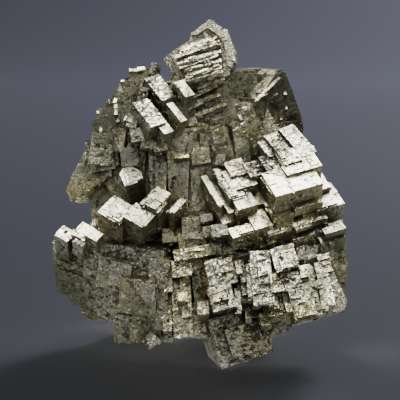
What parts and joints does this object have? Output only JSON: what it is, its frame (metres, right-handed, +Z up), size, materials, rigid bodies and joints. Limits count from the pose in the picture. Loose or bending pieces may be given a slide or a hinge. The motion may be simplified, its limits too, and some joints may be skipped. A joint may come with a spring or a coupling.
{
  "type": "marcasite specimen",
  "caption": "Cluster of intergrown blocky metallic crystals with stepped bright faces, brassy grey, standing on small flats",
  "frame": {"origin": "centre of the bounding box on the plane that the specimen stands on", "axes": "+Z up, -Y towards the viewer of the best side, +X to that viewer's right"},
  "size_m": [0.0732, 0.0512, 0.083],
  "materials": {
    "marcasite": "metallic lustre, pale silvery brass on fresh stepped faces, dull olive grey on the others, brown tarnish in the recesses"
  },
  "bodies": {
    "root": {"marcasite_cluster": "marcasite"}
  },
  "joints": []
}
